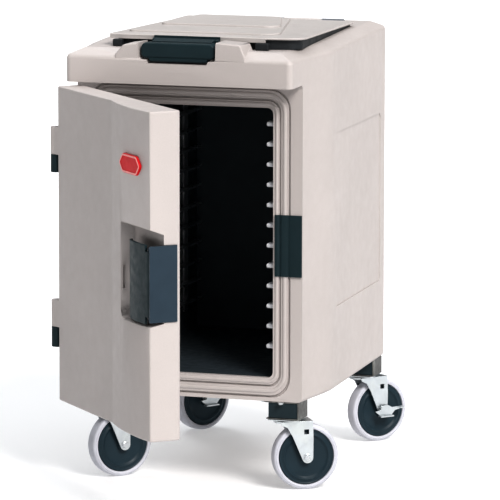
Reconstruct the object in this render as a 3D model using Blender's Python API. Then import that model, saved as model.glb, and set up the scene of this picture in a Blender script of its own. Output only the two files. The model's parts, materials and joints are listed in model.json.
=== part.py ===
"""Insulated food carrier on four swivel casters, shown with its door part open.

Frame: +X to the carrier's right, +Y to its back, +Z up, floor at Z = 0, metres.
Every piece is laid out in the body frame (X = 0 on the centre plane, Y = 0 half
way along the body) and then moved by SHIFT, so that the box around the whole
carrier, open door included, is centred on the origin.
"""
import math

import bmesh
import bpy
from mathutils import Matrix, Vector

# ---------------------------------------------------------------- sizes (m)
SHIFT = (-0.0094, 0.1653, 0.0)
GAP = 0.0003                   # air left between pieces that touch

BODY_FRONT = -0.325            # face of the top band
BODY_BACK = 0.325
BODY_Z0 = 0.173
EDGE_Z = 0.826                 # top edge of the walls
CROWN_Z = 0.838                # flat of the top, inside the sloped shoulder
SHOULDER = 0.034
SEAT_Y = -0.257                # face the door shuts against
BAND_Z = 0.776                 # underside of the top band
HALF_FRONT = 0.2235
HALF_MAX = 0.2405
MAX_Y = -0.125
HALF_BACK = 0.2208
REAR_EDGE = 0.0125             # rise of the wall tops from front to back
REAR_CROWN = 0.0095            # rise of the crown from front to back

CAVITY_HALF = 0.166
CAVITY_Z0 = 0.2175
CAVITY_Z1 = 0.7305
CAVITY_BACK = 0.277
LINER_T = 0.004

RAIL_LEVELS = 12
RAIL_PITCH = 0.0384
RAIL_TOP_Z = 0.7035
RAIL_REACH = 0.015

HINGE = (-0.2440, -0.3200)       # door hinge axis in plan
DOOR_X0 = -0.2265
DOOR_W = 0.467
DOOR_T = 0.050
DOOR_Z0 = 0.1665
DOOR_Z1 = 0.7665
DOOR_OPEN = 47.4               # degrees, as modelled

LID_HINGE = (0.205, 0.8520)    # lid hinge axis, Y and Z
LID_TILT = 0.9                 # degrees, front edge up
LID_LATCH = (-0.2735, 0.8530)  # latch bar axis, Y and Z

CASTER_X = 0.185
CASTER_FRONT = -0.228
CASTER_REAR = 0.273
CASTER_TURN = {"fr": 32.0, "fl": 48.0, "rr": 50.0, "rl": 56.0}
WHEEL_R = 0.0635
TRAIL = 0.035
TYRE_SIDES = 44

STEPS = 6                      # segments in a small quarter round


# ---------------------------------------------------------------- helpers
def clear_scene():
    for obj in list(bpy.data.objects):
        bpy.data.objects.remove(obj, do_unlink=True)


def material(name, colour, roughness, metallic=0.0):
    mat = bpy.data.materials.new(name)
    mat.use_nodes = True
    shader = mat.node_tree.nodes["Principled BSDF"]
    shader.inputs["Base Color"].default_value = (*colour, 1.0)
    shader.inputs["Roughness"].default_value = roughness
    shader.inputs["Metallic"].default_value = metallic
    return mat


def make_object(name, bm, mat=None, angle=32.0):
    bmesh.ops.recalc_face_normals(bm, faces=bm.faces)
    mesh = bpy.data.meshes.new(name)
    bm.to_mesh(mesh)
    bm.free()
    obj = bpy.data.objects.new(name, mesh)
    bpy.context.scene.collection.objects.link(obj)
    if mat is not None:
        mesh.materials.append(mat)
    obj["crease"] = angle
    return obj


def combine(obj, other, operation):
    """Boolean other into obj and drop other."""
    bpy.context.view_layer.update()
    mod = obj.modifiers.new("combine", "BOOLEAN")
    mod.operation = operation
    mod.solver = "EXACT"
    mod.object = other
    graph = bpy.context.evaluated_depsgraph_get()
    result = bpy.data.meshes.new_from_object(obj.evaluated_get(graph))
    obj.modifiers.clear()
    old = obj.data
    mats = [slot for slot in old.materials]
    obj.data = result
    result.materials.clear()
    for mat in mats:
        result.materials.append(mat)
    for poly in result.polygons:
        poly.material_index = 0
    bpy.data.meshes.remove(old)
    spare = other.data
    bpy.data.objects.remove(other, do_unlink=True)
    bpy.data.meshes.remove(spare)


def cut(obj, bm):
    combine(obj, make_object("cutter", bm), "DIFFERENCE")


def join(obj, bm):
    combine(obj, make_object("added", bm), "UNION")


def arc(cx, cy, r, a0, a1, n):
    """Points on an arc, angles in degrees."""
    out = []
    for i in range(n + 1):
        a = math.radians(a0 + (a1 - a0) * i / n)
        out.append((cx + r * math.cos(a), cy + r * math.sin(a)))
    return out


def fillet(corners, seg=5):
    """Polygon through (x, y, radius) corners with each corner rounded."""
    out = []
    n = len(corners)
    for i in range(n):
        x, y, r = corners[i]
        p = Vector((x, y))
        a = Vector(corners[i - 1][:2]) - p
        b = Vector(corners[(i + 1) % n][:2]) - p
        if r <= 0.0:
            out.append((x, y))
            continue
        a.normalize()
        b.normalize()
        half = a.angle(b) / 2.0
        t = r / math.tan(half)
        start = p + a * t
        end = p + b * t
        centre = p + (a + b).normalized() * (r / math.sin(half))
        va = start - centre
        vb = end - centre
        sweep = va.angle(vb)
        turn = 1.0 if va.x * vb.y - va.y * vb.x > 0.0 else -1.0
        for k in range(seg + 1):
            ang = turn * sweep * k / seg
            ca = math.cos(ang)
            sa = math.sin(ang)
            out.append((centre.x + va.x * ca - va.y * sa,
                        centre.y + va.x * sa + va.y * ca))
    return out


def inset(points, d):
    """Move a counter-clockwise outline inward by d."""
    out = []
    n = len(points)
    for i in range(n):
        p = Vector(points[i])
        a = (p - Vector(points[i - 1])).normalized()
        b = (Vector(points[(i + 1) % n]) - p).normalized()
        na = Vector((-a.y, a.x))
        nb = Vector((-b.y, b.x))
        m = na + nb
        m = m / max(m.length_squared / 2.0, 0.2)
        q = p + m * d
        out.append((q.x, q.y))
    return out


def shrink(corners, d):
    """Move a counter-clockwise (x, y, radius) outline inward, radii following."""
    moved = inset([c[:2] for c in corners], d)
    out = []
    n = len(corners)
    for i in range(n):
        a = Vector(corners[i][:2]) - Vector(corners[i - 1][:2])
        b = Vector(corners[(i + 1) % n][:2]) - Vector(corners[i][:2])
        bulge = a.x * b.y - a.y * b.x > 0.0
        r = corners[i][2]
        if r > 0.0:
            r = max(r - d if bulge else r + d, 0.0004)
        out.append((moved[i][0], moved[i][1], r))
    return out


def rect(x0, x1, y0, y1, r=0.0):
    return [(x0, y0, r), (x1, y0, r), (x1, y1, r), (x0, y1, r)]


def ring_of(outline, d, seg):
    """Points of an outline moved inward by d; corners are rounded if it has radii."""
    if len(outline[0]) == 3:
        return fillet(shrink(outline, d), seg)
    return inset(outline, d)


def loft(sections, axes="xyz"):
    """Solid through a list of (outline, height); axes says where the three go."""
    bm = bmesh.new()
    order = {"xyz": (0, 1, 2), "xzy": (0, 2, 1), "yzx": (2, 0, 1)}[axes]
    rings = []
    for outline, h in sections:
        ring = []
        for p in outline:
            raw = (p[0], p[1], h)
            ring.append(bm.verts.new([raw[order[0]], raw[order[1]], raw[order[2]]]))
        rings.append(ring)
    n = len(rings[0])
    for low, high in zip(rings, rings[1:]):
        for i in range(n):
            j = (i + 1) % n
            bm.faces.new((low[i], low[j], high[j], high[i]))
    bm.faces.new(list(reversed(rings[0])))
    bm.faces.new(rings[-1])
    return bm


def slab(outline, h0, h1, r0=0.0, r1=0.0, axes="xyz", n=3, seg=5):
    """Prism between two heights with rounded bottom and top edges."""
    steps = []
    if r0 > 0.0:
        for i in range(n):
            a = math.pi / 2.0 * i / n
            steps.append((r0 * (1.0 - math.sin(a)), h0 + r0 * (1.0 - math.cos(a))))
    steps.append((0.0, h0 + r0))
    steps.append((0.0, h1 - r1))
    if r1 > 0.0:
        for i in range(1, n + 1):
            a = math.pi / 2.0 * i / n
            steps.append((r1 * (1.0 - math.cos(a)), h1 - r1 * (1.0 - math.sin(a))))
    return loft([(ring_of(outline, d, seg), h) for d, h in steps], axes)


def stack(outline, steps, axes="xyz", seg=5):
    """Solid through one outline at a list of (inset, height) steps."""
    return loft([(ring_of(outline, d, seg), h) for d, h in steps], axes)


def box(x0, x1, y0, y1, z0, z1, r=0.0):
    bm = slab(rect(x0, x1, y0, y1), z0, z1)
    if r > 0.0:
        bmesh.ops.bevel(bm, geom=list(bm.edges), offset=r, segments=2,
                        affect="EDGES", profile=0.5)
    return bm


def turned(profile, seg, centre=(0.0, 0.0, 0.0), axis="z", phase=0.0):
    """Solid of revolution through closed (radius, height) corners."""
    bm = bmesh.new()
    rings = []
    for r, h in profile:
        if r < 1e-6:
            rings.append([bm.verts.new((0.0, 0.0, h))])
            continue
        angles = [2 * math.pi * k / seg + phase for k in range(seg)]
        rings.append([bm.verts.new((r * math.cos(a), r * math.sin(a), h)) for a in angles])
    count = len(rings)
    closed = len(rings[0]) > 1
    for i in range(count if closed else count - 1):
        a = rings[i]
        b = rings[(i + 1) % count]
        for k in range(seg):
            m = (k + 1) % seg
            if len(a) == 1 and len(b) == 1:
                continue
            if len(a) == 1:
                bm.faces.new((a[0], b[k], b[m]))
            elif len(b) == 1:
                bm.faces.new((a[k], a[m], b[0]))
            else:
                bm.faces.new((a[k], a[m], b[m], b[k]))
    turn = {"z": Matrix.Identity(4), "y": Matrix.Rotation(-math.pi / 2, 4, "X"),
            "x": Matrix.Rotation(math.pi / 2, 4, "Y")}[axis]
    bmesh.ops.transform(bm, matrix=Matrix.Translation(centre) @ turn, verts=bm.verts)
    return bm


def drill(r, h0, h1, centre=(0.0, 0.0, 0.0), axis="z", seg=24):
    """Hole cutter, turned a little so that no edge lines up with another round."""
    profile = [(0.0, h0), (r, h0), (r, h1), (0.0, h1)]
    return turned(profile, seg, centre, axis, 0.07)


def sleeve(r, hole, h0, h1, seg, c):
    """Upright tube with chamfered outer rims."""
    return turned([(hole, h0), (r - c, h0), (r, h0 + c), (r, h1 - c), (r - c, h1), (hole, h1)], seg)


def rod(r, h0, h1, centre=(0.0, 0.0, 0.0), axis="z", seg=32, chamfer=0.0):
    c = chamfer
    if c > 0.0:
        profile = [(0.0, h0), (r - c, h0), (r, h0 + c), (r, h1 - c), (r - c, h1), (0.0, h1)]
    else:
        profile = [(0.0, h0), (r, h0), (r, h1), (0.0, h1)]
    return turned(profile, seg, centre, axis)


def merged(bm, other):
    """Add the faces of one mesh to another, for cutters of separate blocks."""
    mesh = bpy.data.meshes.new("spare")
    other.to_mesh(mesh)
    other.free()
    bm.from_mesh(mesh)
    bpy.data.meshes.remove(mesh)
    return bm


def place(obj, matrix):
    """Put the object's own origin where matrix sends the local origin."""
    obj.matrix_world = Matrix.Translation(SHIFT) @ matrix


def at(x, y, z):
    return Matrix.Translation((x, y, z))


def finish_shading():
    for obj in bpy.data.objects:
        if obj.type != "MESH":
            continue
        angle = math.radians(obj["crease"])
        del obj["crease"]
        obj.data.shade_smooth()
        obj.data.set_sharp_from_angle(angle=angle)


# ---------------------------------------------------------------- body
def body_outline():
    half = [(HALF_FRONT, BODY_FRONT, 0.011), (HALF_FRONT + 0.0005, SEAT_Y, 0.0),
            (HALF_MAX, MAX_Y, 0.25), (HALF_BACK, BODY_BACK, 0.034)]
    other = [(-x, y, r) for x, y, r in reversed(half)]
    return half + other


def build_body(mats):
    plan = body_outline()
    rise = CROWN_Z - EDGE_Z
    steps = []
    for i in range(4):
        a = math.pi / 2.0 * i / 3
        steps.append((0.008 * (1 - math.sin(a)), BODY_Z0 + 0.008 * (1 - math.cos(a))))
    steps.append((0.0, EDGE_Z - 0.007))
    steps.append((0.0015, EDGE_Z - 0.003))
    steps.append((0.0050, EDGE_Z + 0.0005))
    steps.append((SHOULDER - 0.006, EDGE_Z + rise - 0.0012))
    steps.append((SHOULDER, CROWN_Z))
    bm = stack(plan, steps, seg=7)
    for v in bm.verts:
        if v.co.z > EDGE_Z - 0.02:
            share = min(max((v.co.z - EDGE_Z) / rise, 0.0), 1.0)
            lift = REAR_EDGE + (REAR_CROWN - REAR_EDGE) * share
            v.co.z += lift * (v.co.y - BODY_FRONT) / (BODY_BACK - BODY_FRONT)
    body = make_object("body_shell", bm, mats["shell"], 28.0)

    # raised front ridge, which carries the latch notch
    ridge = [(-0.1255, 0.8200, 0.0), (0.1330, 0.8200, 0.0), (0.1320, 0.8300, 0.006),
             (0.1220, 0.8530, 0.006), (0.0750, 0.8560, 0.002), (-0.0590, 0.8545, 0.02),
             (-0.1090, 0.8475, 0.008), (-0.1245, 0.8290, 0.006)]
    join(body, slab(ridge, BODY_FRONT + 0.0002, -0.2660, 0.003, 0.0, axes="xzy", seg=4))

    # the band overhangs the door seat
    seat = fillet([(SEAT_Y, 0.10, 0.0), (SEAT_Y, BAND_Z, 0.010), (-0.40, BAND_Z - 0.004, 0.0),
                   (-0.40, 0.10, 0.0)], 4)
    cut(body, loft([(seat, -0.30), (seat, 0.30)], axes="yzx"))

    # notch for the lid latch, stepped at its lower corners
    notch = fillet([(-0.0630, 0.8130, 0.003), (0.0570, 0.8130, 0.003), (0.0585, 0.8195, 0.002),
                    (0.0735, 0.8205, 0.005), (0.0745, 0.8600, 0.0), (0.0745, 0.90, 0.0),
                    (-0.0800, 0.90, 0.0), (-0.0800, 0.8600, 0.0), (-0.0790, 0.8205, 0.005),
                    (-0.0645, 0.8195, 0.002)], 4)
    cut(body, loft([(notch, -0.34), (notch, -0.2625)], axes="xzy"))

    # stepped frame round the opening: two rounded grooves
    for half_in, width, depth, r in ((0.1765, 0.0065, 0.0050, 0.020),
                                     (0.1945, 0.0070, 0.0055, 0.034)):
        grow = half_in - CAVITY_HALF
        z0 = CAVITY_Z0 - grow * 1.12
        z1 = CAVITY_Z1 + grow * 1.12
        outer = rect(-half_in - width, half_in + width, z0 - width, z1 + width, r + width)
        cut(body, ring_cutter(outer, width, depth))

    # cavity: clear opening with a lip, then room for the liner
    cut(body, slab(rect(-CAVITY_HALF, CAVITY_HALF, CAVITY_Z0, CAVITY_Z1, 0.012),
                   SEAT_Y - 0.010, SEAT_Y + 0.030, axes="xzy"))
    g = LINER_T + GAP
    cut(body, slab(rect(-CAVITY_HALF - g, CAVITY_HALF + g, CAVITY_Z0 - g, CAVITY_Z1 + g, 0.014),
                   SEAT_Y + 0.0120, CAVITY_BACK + g, axes="xzy"))

    # shallow embossed panel on each side wall, towards the back
    for side in (-1.0, 1.0):
        cut(body, side_panel(side))
    place(body, at(0.0, 0.0, 0.0))


def tube(loops):
    """Closed ring of faces through a cycle of vertex position lists."""
    bm = bmesh.new()
    rings = [[bm.verts.new(p) for p in loop] for loop in loops]
    n = len(rings[0])
    count = len(rings)
    for k in range(count):
        a = rings[k]
        b = rings[(k + 1) % count]
        for i in range(n):
            j = (i + 1) % n
            bm.faces.new((a[i], a[j], b[j], b[i]))
    return bm


def ring_cutter(outer, width, depth):
    """Tapered ring cut into the seat face, wider at the face."""
    front = SEAT_Y - 0.004
    deep = SEAT_Y + depth
    loops = []
    for d, y in ((0.0, front), (0.0022, deep), (width - 0.0022, deep), (width, front)):
        loops.append([(p[0], y, p[1]) for p in ring_of(outer, d, 6)])
    return tube(loops)


def side_panel(side):
    """Thin frame-shaped recess whose floor follows the side wall."""
    y0 = -0.095
    y1 = 0.262
    outline = fillet(rect(y0, y1, 0.332, 0.668, 0.012), 5)
    slope = (HALF_BACK - HALF_MAX) / (BODY_BACK - MAX_Y)
    bm = bmesh.new()
    rings = []
    for extra in (-0.0016, 0.02):
        ring = []
        for y, z in outline:
            x = HALF_MAX + slope * (y - MAX_Y) + extra
            ring.append(bm.verts.new((side * x, y, z)))
        rings.append(ring)
    n = len(outline)
    for i in range(n):
        j = (i + 1) % n
        bm.faces.new((rings[0][i], rings[0][j], rings[1][j], rings[1][i]))
    bm.faces.new(list(reversed(rings[0])))
    bm.faces.new(rings[1])
    return bm


def build_liner(mats):
    y0 = SEAT_Y + 0.0123
    h = CAVITY_HALF
    liner = make_object("cavity_liner", slab(
        rect(-h - LINER_T, h + LINER_T, CAVITY_Z0 - LINER_T, CAVITY_Z1 + LINER_T, 0.0137),
        y0, CAVITY_BACK + LINER_T, axes="xzy"), mats["liner"])
    cut(liner, slab(rect(-h, h, CAVITY_Z0, CAVITY_Z1, 0.010), y0 - 0.01, CAVITY_BACK, axes="xzy"))
    place(liner, at(0.0, 0.0, 0.0))


def build_rack(name, side, mats):
    """Twelve pan slides on two uprights, one piece of bent sheet."""
    wall = CAVITY_HALF - GAP
    y0 = -0.234
    y1 = 0.262
    t = 0.0022
    a = wall - t
    zs = [RAIL_TOP_Z - RAIL_PITCH * i for i in range(RAIL_LEVELS)]
    rack = make_object(name, box(a, wall, -0.205, -0.180, zs[-1] - 0.022, zs[0] + 0.014),
                       mats["rack"])
    join(rack, box(a, wall, 0.190, 0.215, zs[-1] - 0.022, zs[0] + 0.014))
    slides = bmesh.new()
    for z in zs:
        lip = [(wall - RAIL_REACH, z), (wall - 0.0002, z), (wall - 0.0002, z - 0.009),
               (a - 0.0004, z - 0.009), (a - 0.0004, z - 0.0034), (wall - RAIL_REACH, z - 0.0034)]
        merged(slides, loft([(lip, y0), (lip, y1)], axes="xzy"))
    join(rack, slides)
    if side < 0.0:
        bm = bmesh.new()
        bm.from_mesh(rack.data)
        bmesh.ops.scale(bm, vec=(-1.0, 1.0, 1.0), verts=bm.verts)
        bmesh.ops.reverse_faces(bm, faces=bm.faces)
        bm.to_mesh(rack.data)
        bm.free()
    place(rack, at(0.0, 0.0, 0.0))


def build_strike(mats):
    f = SEAT_Y - GAP
    plan = [(0.1700, f), (0.2232, f), (0.2232, f - 0.0032), (0.2010, f - 0.0032),
            (0.1990, f - 0.0018), (0.1945, f - 0.0018), (0.1925, f - 0.0032), (0.1830, f - 0.0032),
            (0.1815, f - 0.0018), (0.1775, f - 0.0018), (0.1760, f - 0.0032), (0.1700, f - 0.0032)]
    strike = make_object("strike_plate", loft([(plan, 0.4125), (plan, 0.5295)]), mats["trim"])
    place(strike, at(0.0, 0.0, 0.0))


# ---------------------------------------------------------------- door
def door_plan():
    """Door outline in plan, X along the door, Y inward, from its hinge corner."""
    w = DOOR_W
    t = DOOR_T
    face = [(0.006, 0.0), (0.080, 0.0), (0.160, 0.0), (0.215, 0.0004), (0.2570, 0.0012),
            (0.2790, -0.0036), (0.3010, -0.0074), (0.3260, -0.0107), (0.3520, -0.0131),
            (0.3780, -0.0143), (0.4030, -0.0147), (0.4280, -0.0140), (0.4480, -0.0128)]
    corner = arc(w - 0.0035, -0.0081, 0.0035, 270, 360, 3)
    back = arc(w - 0.008, t - 0.008, 0.008, 0, 90, 4)
    hinge = arc(0.008, t - 0.008, 0.008, 90, 180, 4)
    start = arc(0.006, 0.006, 0.006, 180, 270, 4)[:-1]
    return start + face + corner + back + hinge


def build_door(mats):
    dx = DOOR_X0 - HINGE[0]
    dy = BODY_FRONT - HINGE[1]
    swing = Matrix.Rotation(-math.radians(DOOR_OPEN), 4, "Z")
    spot = at(HINGE[0], HINGE[1], 0.0) @ swing
    plan = [(x + dx, y + dy) for x, y in door_plan()]

    shell = make_object("door_shell", slab(plan, DOOR_Z0, DOOR_Z1), mats["shell"], 24.0)
    for z0, z1 in ((0.6358, 0.6880), (0.3064, 0.3576)):
        web = [(0.0050, -0.0085), (dx + 0.012, dy + 0.0005), (dx + 0.012, 0.0120), (0.0050, 0.0085)]
        join(shell, loft([(web, z0 + 0.0005), (web, z1 - 0.0005)]))
        join(shell, sleeve(0.0108, 0.0036, z0, z1, 28, 0.0008))
    # pocket for the grip, open on the door face and on its free edge; it narrows inwards
    u0 = dx + 0.3340
    u1 = dx + 0.4900
    rims = []
    for n, low, high in ((-0.0300, 0.3718, 0.5604), (0.0165, 0.3817, 0.5434)):
        rims.append((fillet([(u0, low, 0.014), (u1, low, 0.0), (u1, high, 0.0), (u0, high, 0.004)], 4),
                     dy + n))
    cut(shell, loft(rims, axes="xzy"))
    cut(shell, box(u0 - 0.0060, u0 + 0.0100, dy - 0.0077, dy - 0.0020, 0.4300, 0.4725))
    # flat land for the edge plate
    cut(shell, box(dx + DOOR_W - 0.0010, dx + DOOR_W + 0.02, dy + 0.0120, dy + 0.0425, 0.3840, 0.5250))
    place(shell, spot @ at(0.0, 0.0, DOOR_Z0))
    shift_mesh(shell, (0.0, 0.0, -DOOR_Z0))

    inner = dy + DOOR_T
    px0 = -0.155 - HINGE[0]
    px1 = 0.155 - HINGE[0]
    plug = make_object("door_inner_panel", slab(
        rect(px0, px1, CAVITY_Z0 + 0.011, CAVITY_Z1 - 0.011, 0.014), inner + GAP, inner + 0.0280,
        0.0, 0.005, axes="xzy"), mats["liner_light"])
    place(plug, spot @ at(0.0, 0.0, DOOR_Z0))
    shift_mesh(plug, (0.0, 0.0, -DOOR_Z0))

    seal = make_object("door_gasket", slab(
        rect(px0 - 0.0138, px1 + 0.0138, CAVITY_Z0 - 0.0030, CAVITY_Z1 + 0.0030, 0.022),
        inner + GAP, inner + 0.0172, 0.0, 0.003, axes="xzy"), mats["rubber"])
    cut(seal, slab(rect(px0 - 0.0005, px1 + 0.0005, CAVITY_Z0 + 0.0105, CAVITY_Z1 - 0.0105, 0.0145),
                   inner - 0.01, inner + 0.03, axes="xzy"))
    place(seal, spot @ at(0.0, 0.0, DOOR_Z0))
    shift_mesh(seal, (0.0, 0.0, -DOOR_Z0))

    build_badge(mats, spot, dx, dy)
    build_door_latch(mats, spot, dx, dy)
    build_hinges(mats)


def shift_mesh(obj, offset):
    obj.data.transform(Matrix.Translation(offset))


def build_badge(mats, spot, dx, dy):
    """Plain elongated plate seated on the swell of the door."""
    u = 0.3905
    z = 0.6640
    half = 0.0480
    tall = 0.0175
    outline = [(-half, 0.0, 0.006), (-half + 0.016, -tall, 0.010), (half - 0.016, -tall, 0.010),
               (half, 0.0, 0.006), (half - 0.016, tall, 0.010), (-half + 0.016, tall, 0.010)]
    bm = stack(outline, [(0.0, -0.004), (0.0, 0.0075), (0.0012, 0.0086), (0.0040, 0.0086),
                         (0.0046, 0.0080)], axes="xzy", seg=4)
    badge = make_object("door_badge", bm, mats["badge"])
    badge.data.transform(Matrix.Translation((0.0, -0.0101, 0.0)) @ Matrix.Rotation(math.pi, 4, "Z"))
    # trim the back of the plate to the swell
    swell = sorted((x - u, y - GAP) for x, y in door_plan() if x > u - 0.20 and y < 0.02)
    outline = swell + [(swell[-1][0], 0.06), (swell[0][0], 0.06)]
    cut(badge, loft([(outline, -0.05), (outline, 0.05)]))
    place(badge, spot @ at(dx + u, dy, z))


def build_door_latch(mats, spot, dx, dy):
    """Edge plate on the free edge and a spring-back grip hinged to it."""
    edge = dx + DOOR_W
    pin = (dx + 0.4550, dy - 0.0040)
    plate = make_object("latch_edge_plate", box(
        edge - 0.0007, edge + 0.0028, dy - 0.0125, dy + 0.0415, 0.3850, 0.5240), mats["trim_plate"])
    for z0, z1 in ((0.3870, 0.3930), (0.5130, 0.5190)):
        join(plate, box(pin[0], edge + 0.0010, pin[1] - 0.0035, pin[1] + 0.0035, z0, z1))
        join(plate, rod(0.0052, z0, z1, (pin[0], pin[1], 0.0), seg=20))
    cut(plate, drill(0.0026, 0.37, 0.53, (pin[0], pin[1], 0.0), seg=14))
    place(plate, spot @ at(0.0, 0.0, 0.45))
    shift_mesh(plate, (0.0, 0.0, -0.45))

    outer = [(-0.0960, 0.0020), (-0.0925, -0.0020), (-0.0860, -0.0050), (-0.0760, -0.0072),
             (-0.0620, -0.0088), (-0.0480, -0.0096), (-0.0340, -0.0097), (-0.0200, -0.0092),
             (-0.0075, -0.0085)]
    inner = [(-0.0072, -0.0040), (-0.0200, -0.0046), (-0.0340, -0.0050), (-0.0480, -0.0050),
             (-0.0620, -0.0042), (-0.0760, -0.0026), (-0.0855, -0.0006), (-0.0910, 0.0022),
             (-0.0935, 0.0048)]
    grip = make_object("latch_grip", slab(outer + inner, 0.3800, 0.5245, 0.0010, 0.0010, n=1),
                       mats["trim"])
    web = [(-0.0085, -0.0083), (0.0, -0.0081), (0.0060, -0.0071), (0.0086, -0.0052),
           (0.0080, -0.0040), (0.0040, -0.0026), (0.0, 0.0030), (-0.0085, -0.0010)]
    join(grip, loft([(web, 0.3935), (web, 0.5125)]))
    join(grip, rod(0.0050, 0.3935, 0.5125, seg=24))
    cut(grip, drill(0.0026, 0.37, 0.53, seg=14))
    place(grip, spot @ at(pin[0], pin[1], 0.45))
    shift_mesh(grip, (0.0, 0.0, -0.45))

    pivot = make_object("latch_pin", rod(0.0023, -0.0620, 0.0670, seg=20, chamfer=0.0004), mats["steel"])
    place(pivot, spot @ at(pin[0], pin[1], 0.45))


def build_hinges(mats):
    hx, hy = HINGE
    for tag, z0, z1, top in (("upper", 0.6014, 0.6354, 0.6850), ("lower", 0.2671, 0.3060, 0.3546)):
        slope = (HALF_MAX - HALF_FRONT) / (MAX_Y - SEAT_Y)

        def side(y, off):
            return -(HALF_FRONT + 0.0008 + slope * (y - SEAT_Y)) - off

        plan = [(hx + 0.0085, hy), (side(SEAT_Y, 0.0), SEAT_Y - 0.004), (side(SEAT_Y, 0.0), SEAT_Y),
                (side(-0.175, 0.0), -0.175), (side(-0.175, 0.0040), -0.175),
                (side(-0.240, 0.0042), -0.240), (hx - 0.0090, hy)]
        plan.reverse()
        leaf = make_object("hinge_leaf_" + tag, loft([(plan, z0), (plan, z1)]), mats["trim"])
        join(leaf, rod(0.0108, z0, z1, (hx, hy, 0.0), seg=28, chamfer=0.0008))
        cut(leaf, drill(0.0036, z0 + 0.004, z1 + 0.01, (hx, hy, 0.0), seg=18))
        place(leaf, at(hx, hy, z0))
        shift_mesh(leaf, (-hx, -hy, -z0))
        pin = make_object("hinge_pin_" + tag, rod(0.0033, 0.0043, top - z0, seg=24, chamfer=0.0005),
                          mats["steel"])
        place(pin, at(hx, hy, z0))


# ---------------------------------------------------------------- lid
def build_lid(mats):
    y_h, z_h = LID_HINGE
    tilt = Matrix.Rotation(-math.radians(LID_TILT), 4, "X")
    spot = at(0.0, y_h, z_h) @ tilt
    z0 = -0.0012
    z1 = 0.0028
    plate = [(-0.1580, -0.4690, 0.006), (0.1520, -0.4680, 0.001), (0.1535, -0.4640, 0.001),
             (0.2210, -0.4500, 0.034), (0.1900, -0.0070, 0.020), (-0.1580, -0.0070, 0.012)]
    t1 = [(-0.1380, -0.4200, 0.012), (0.1640, -0.4180, 0.030), (0.0640, -0.0300, 0.020),
          (-0.1380, -0.0300, 0.012)]
    t2 = [(-0.1200, -0.2850, 0.012), (0.1240, -0.2830, 0.026), (0.0520, -0.0500, 0.018),
          (-0.1200, -0.0500, 0.012)]
    lid = make_object("lid_shell", stack(plate, [(0.0010, z0), (0.0, z0 + 0.0010), (0.0, z1 - 0.0015),
                                                 (0.0017, z1)]), mats["shell_top"], 30.0)
    join(lid, stack(t1, [(0.0, z1 - 0.002), (0.0006, z1 + 0.0026), (0.0024, z1 + 0.0038)], seg=6))
    join(lid, stack(t2, [(0.0, z1 + 0.001), (0.0006, z1 + 0.0064), (0.0024, z1 + 0.0076)], seg=6))
    # skirt under the front edge, from the left end to the step near the right corner
    join(lid, box(-0.1565, 0.1510, -0.4680, -0.4622, z0 - 0.0052, z0 + 0.0015))
    for x0, x1 in ((-0.0790, -0.0010), (0.0410, 0.1190)):
        join(lid, box(x0, x1, -0.0200, 0.0, -0.0009, 0.0024))
        join(lid, rod(0.0050, x0, x1, axis="x", seg=18))
    cut(lid, drill(0.0023, -0.20, 0.22, axis="x", seg=14))
    place(lid, spot)

    leaf = make_object("lid_hinge_leaf", box(
        -0.1240, 0.1640, y_h + 0.0062, y_h + 0.0300, 0.8466, 0.8492), mats["steel_dark"])
    for x0, x1 in ((-0.1240, -0.0794), (-0.0006, 0.0406), (0.1194, 0.1640)):
        join(leaf, box(x0, x1, y_h, y_h + 0.0090, z_h - 0.0046, 0.8488))
        join(leaf, rod(0.0050, x0, x1, (0.0, y_h, z_h), axis="x", seg=18))
    cut(leaf, drill(0.0023, -0.20, 0.22, (0.0, y_h, z_h), axis="x", seg=14))
    place(leaf, at(0.0, y_h, z_h))
    shift_mesh(leaf, (0.0, -y_h, -z_h))
    pin = make_object("lid_hinge_pin", rod(0.0020, -0.1245, 0.1645, axis="x", seg=20, chamfer=0.0004),
                      mats["steel"])
    place(pin, at(0.0, y_h, z_h))

    # dark gasket frame the lid closes on: its top follows the tilt of the lid
    slope = math.tan(math.radians(LID_TILT))
    climb = REAR_CROWN / (BODY_BACK - BODY_FRONT)
    outer = [(-0.1440, -0.2555, 0.006), (0.1500, -0.2520, 0.002), (0.2120, -0.2370, 0.030),
             (0.1840, 0.1860, 0.012), (-0.1440, 0.1860, 0.012)]
    loops = []
    for d, top in ((0.0, False), (0.0, True), (0.024, True), (0.024, False)):
        loop = []
        for x, y in ring_of(outer, d, 5):
            if top:
                z = z_h + z0 - 0.0008 + slope * (y_h - y)
            else:
                z = CROWN_Z + climb * (y - BODY_FRONT) + GAP
            loop.append((x, y, z))
        loops.append(loop)
    bm = tube(loops)
    seal = make_object("lid_gasket", bm, mats["rubber"])
    place(seal, at(0.0, 0.0, 0.0))

    # small dark blocks under the lid's front corners, either side of the ridge
    for tag, x0, x1, y0, y1 in (("left", -0.1465, -0.1285, -0.2760, -0.2625),
                                ("right", 0.1345, 0.1600, -0.2720, -0.2580)):
        block = make_object("lid_bumper_" + tag, box(x0, x1, y0, y1, CROWN_Z + 0.0013, 0.8524, 0.0015),
                            mats["rubber"])
        place(block, at(0.0, 0.0, 0.0))
    build_lid_latch(mats, spot)


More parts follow.
